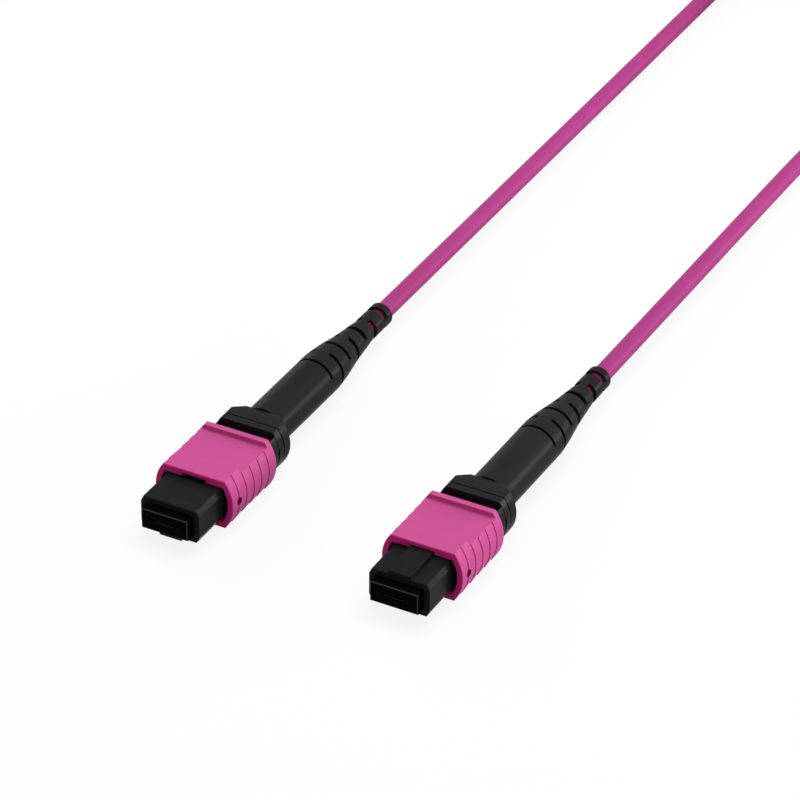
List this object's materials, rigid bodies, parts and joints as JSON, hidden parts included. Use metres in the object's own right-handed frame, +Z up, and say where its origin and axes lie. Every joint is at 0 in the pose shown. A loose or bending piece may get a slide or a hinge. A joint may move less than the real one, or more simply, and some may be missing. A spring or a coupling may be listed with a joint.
{
  "type": "mpo patch cable",
  "caption": "Multi-fibre patch cable: round magenta cord with a keyed black connector at each end, each with a sprung magenta coupling sleeve and a slotted strain relief.",
  "frame": {"origin": "middle of the two connectors, on the surface they lie on", "axes": "+X from connector a to connector b, +Y from the connectors' noses towards the cord, +Z up"},
  "size_m": [0.048, 0.233, 0.0077],
  "materials": {
    "sleeve_plastic": "satin moulded, magenta",
    "housing_plastic": "fine matt moulded, black",
    "ferrule_resin": "filled resin with a ground end face, black",
    "plug_rubber": "soft, black",
    "keeper_steel": "stamped",
    "fibre_coating": "thin clear coating on glass fibres",
    "spring_steel": "drawn wire",
    "rear_plastic": "fine matt moulded, black",
    "crimp_metal": "plain",
    "boot_elastomer": "soft satin, black",
    "jacket": "smooth extruded, magenta",
    "tie_fabric": "woven strap, black"
  },
  "bodies": {
    "cable": {"inner_housing_a": "housing_plastic", "fibre_ribbon_a": "fibre_coating", "ferrule_spring_a": "spring_steel", "return_spring_left_a": "spring_steel", "return_spring_right_a": "spring_steel", "rear_body_a": "rear_plastic", "crimp_ring_a": "crimp_metal", "strain_relief_boot_a": "boot_elastomer", "inner_housing_b": "housing_plastic", "fibre_ribbon_b": "fibre_coating", "ferrule_spring_b": "spring_steel", "return_spring_left_b": "spring_steel", "return_spring_right_b": "spring_steel", "rear_body_b": "rear_plastic", "crimp_ring_b": "crimp_metal", "strain_relief_boot_b": "boot_elastomer", "cable_run_a": "jacket", "cable_run_b": "jacket", "cable_coil": "jacket", "coil_tie": "tie_fabric"},
    "sleeve_a": {"coupling_sleeve_a": "sleeve_plastic"},
    "ferrule_a": {"mt_ferrule_a": "ferrule_resin", "ferrule_plug_a": "plug_rubber", "pin_keeper_a": "keeper_steel"},
    "sleeve_b": {"coupling_sleeve_b": "sleeve_plastic"},
    "ferrule_b": {"mt_ferrule_b": "ferrule_resin", "ferrule_plug_b": "plug_rubber", "pin_keeper_b": "keeper_steel"}
  },
  "joints": [
    {"name": "sleeve_slide_a", "type": "slide", "parent": "cable", "child": "sleeve_a", "axis": [0, 1, 0], "range_m": [0, 0.002], "stiffness_N_per_m": 300, "springref_m": -0.003, "deforming": ["return_spring_left_a", "return_spring_right_a"]},
    {"name": "ferrule_slide_a", "type": "slide", "parent": "cable", "child": "ferrule_a", "axis": [0, 1, 0], "range_m": [0, 0.001], "stiffness_N_per_m": 1000, "springref_m": -0.005, "deforming": ["ferrule_spring_a"]},
    {"name": "sleeve_slide_b", "type": "slide", "parent": "cable", "child": "sleeve_b", "axis": [0, 1, 0], "range_m": [0, 0.002], "stiffness_N_per_m": 300, "springref_m": -0.003, "deforming": ["return_spring_left_b", "return_spring_right_b"]},
    {"name": "ferrule_slide_b", "type": "slide", "parent": "cable", "child": "ferrule_b", "axis": [0, 1, 0], "range_m": [0, 0.001], "stiffness_N_per_m": 1000, "springref_m": -0.005, "deforming": ["ferrule_spring_b"]}
  ]
}
